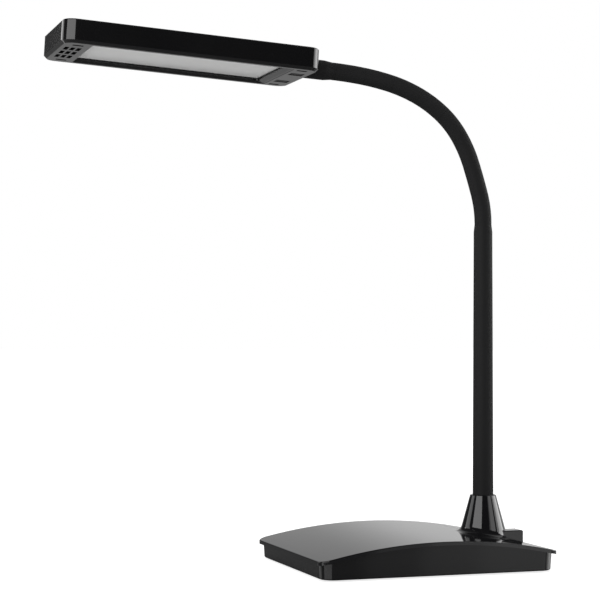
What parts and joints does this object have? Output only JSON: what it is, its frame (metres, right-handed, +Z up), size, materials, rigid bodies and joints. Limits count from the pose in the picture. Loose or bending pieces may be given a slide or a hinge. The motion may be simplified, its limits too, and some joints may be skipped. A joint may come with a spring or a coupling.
{
  "type": "gooseneck desk lamp",
  "caption": "Gooseneck desk lamp: weighted arched base, tapered post, flexible neck and a flat rectangular LED head with a vent grille and push keys.",
  "frame": {"origin": "on the desk, at the centre of the underside of the base", "axes": "+Z up from the desk, -X the way the head reaches out from the post, +Y across the base"},
  "size_m": [0.4016, 0.166, 0.4319],
  "materials": {
    "cover_plastic": "high gloss",
    "tray_plastic": "gloss",
    "pad_foam": "matt",
    "weight_steel": "plain rolled",
    "screw_steel": "zinc plated",
    "jack_plastic": "satin",
    "lead_jacket": "matt",
    "pipe_steel": "drawn",
    "post_skin": "satin",
    "ferrule_skin": "satin",
    "head_plastic": "high gloss",
    "bezel_plastic": "high gloss",
    "diffuser_plastic": "opal satin",
    "reflector_plastic": "white",
    "board_laminate": "white solder mask",
    "led_phosphor": "silicone",
    "control_laminate": "green solder mask",
    "coil_ferrite": "ferrite",
    "chip_epoxy": "epoxy",
    "switch_plastic": "satin",
    "jumper_jacket": "matt",
    "key_plastic": "matt",
    "neck_skin": "satin",
    "core_steel": "wound"
  },
  "bodies": {
    "base": {"base_tray": "tray_plastic", "base_cover": "cover_plastic", "base_pad": "pad_foam", "ballast_plate": "weight_steel", "ballast_screws": "screw_steel", "base_screws": "screw_steel", "dc_jack": "jack_plastic", "supply_lead": "lead_jacket", "post_pipe": "pipe_steel", "post_sleeve": "post_skin", "post_washer": "screw_steel", "post_nut": "screw_steel"},
    "neck_1": {"neck_sleeve_1": "neck_skin", "neck_core_1": "core_steel", "neck_lead_1": "lead_jacket"},
    "neck_2": {"neck_sleeve_2": "neck_skin", "neck_core_2": "core_steel", "neck_lead_2": "lead_jacket"},
    "neck_3": {"neck_sleeve_3": "neck_skin", "neck_core_3": "core_steel", "neck_lead_3": "lead_jacket"},
    "neck_4": {"neck_sleeve_4": "neck_skin", "neck_core_4": "core_steel", "neck_lead_4": "lead_jacket"},
    "neck_5": {"neck_sleeve_5": "neck_skin", "neck_core_5": "core_steel", "neck_lead_5": "lead_jacket"},
    "neck_6": {"neck_sleeve_6": "neck_skin", "neck_core_6": "core_steel", "neck_lead_6": "lead_jacket"},
    "neck_7": {"neck_sleeve_7": "neck_skin", "neck_core_7": "core_steel", "neck_lead_7": "lead_jacket"},
    "neck_8": {"neck_sleeve_8": "neck_skin", "neck_core_8": "core_steel", "neck_lead_8": "lead_jacket"},
    "head": {"neck_ferrule": "ferrule_skin", "ferrule_nut": "screw_steel", "head_housing": "head_plastic", "head_bezel": "bezel_plastic", "diffuser": "diffuser_plastic", "reflector": "reflector_plastic", "led_board": "board_laminate", "leds": "led_phosphor", "board_screws": "screw_steel", "control_board": "control_laminate", "driver_coil": "coil_ferrite", "driver_chip": "chip_epoxy", "key_switches": "switch_plastic", "head_lead": "lead_jacket", "led_jumpers": "jumper_jacket", "control_screws": "screw_steel"},
    "power_key": {"power_key": "key_plastic"},
    "dimmer_key": {"dimmer_key": "key_plastic"}
  },
  "joints": [
    {"name": "post_bend", "type": "hinge", "parent": "base", "child": "neck_1", "pos_m": [0.0729, 0, 0.287], "axis": [0, -1, 0], "range_deg": [-15, 15]},
    {"name": "neck_bend_1_side", "type": "hinge", "parent": "neck_1", "child": "neck_2", "pos_m": [0.06935, 0, 0.31272], "axis": [-0.9627, 0, -0.2706], "range_deg": [-15, 15]},
    {"name": "neck_bend_2", "type": "hinge", "parent": "neck_2", "child": "neck_3", "pos_m": [0.06165, 0, 0.33761], "axis": [0, -1, 0], "range_deg": [-15, 15]},
    {"name": "neck_bend_3", "type": "hinge", "parent": "neck_3", "child": "neck_4", "pos_m": [0.05044, 0, 0.36105], "axis": [0, -1, 0], "range_deg": [-15, 15]},
    {"name": "neck_bend_4_side", "type": "hinge", "parent": "neck_4", "child": "neck_5", "pos_m": [0.0332, 0, 0.38044], "axis": [-0.6307, 0, -0.776], "range_deg": [-15, 15]},
    {"name": "neck_bend_5", "type": "hinge", "parent": "neck_5", "child": "neck_6", "pos_m": [0.01121, 0, 0.39428], "axis": [0, -1, 0], "range_deg": [-15, 15]},
    {"name": "neck_bend_6", "type": "hinge", "parent": "neck_6", "child": "neck_7", "pos_m": [-0.01328, 0, 0.40303], "axis": [0, -1, 0], "range_deg": [-15, 15]},
    {"name": "neck_bend_7_side", "type": "hinge", "parent": "neck_7", "child": "neck_8", "pos_m": [-0.03886, 0, 0.40788], "axis": [-0.1305, 0, -0.9914], "range_deg": [-15, 15]},
    {"name": "head_bend", "type": "hinge", "parent": "neck_8", "child": "head", "pos_m": [-0.06479, 0, 0.4103], "axis": [0, -1, 0], "range_deg": [-15, 15]},
    {"name": "power_key_press", "type": "slide", "parent": "head", "child": "power_key", "axis": [0.055, 0, 0.9985], "range_m": [0, 0.0008], "stiffness_N_per_m": 800, "springref_m": -0.001},
    {"name": "dimmer_key_press", "type": "slide", "parent": "head", "child": "dimmer_key", "axis": [0.055, 0, 0.9985], "range_m": [0, 0.0008], "stiffness_N_per_m": 800, "springref_m": -0.001}
  ]
}
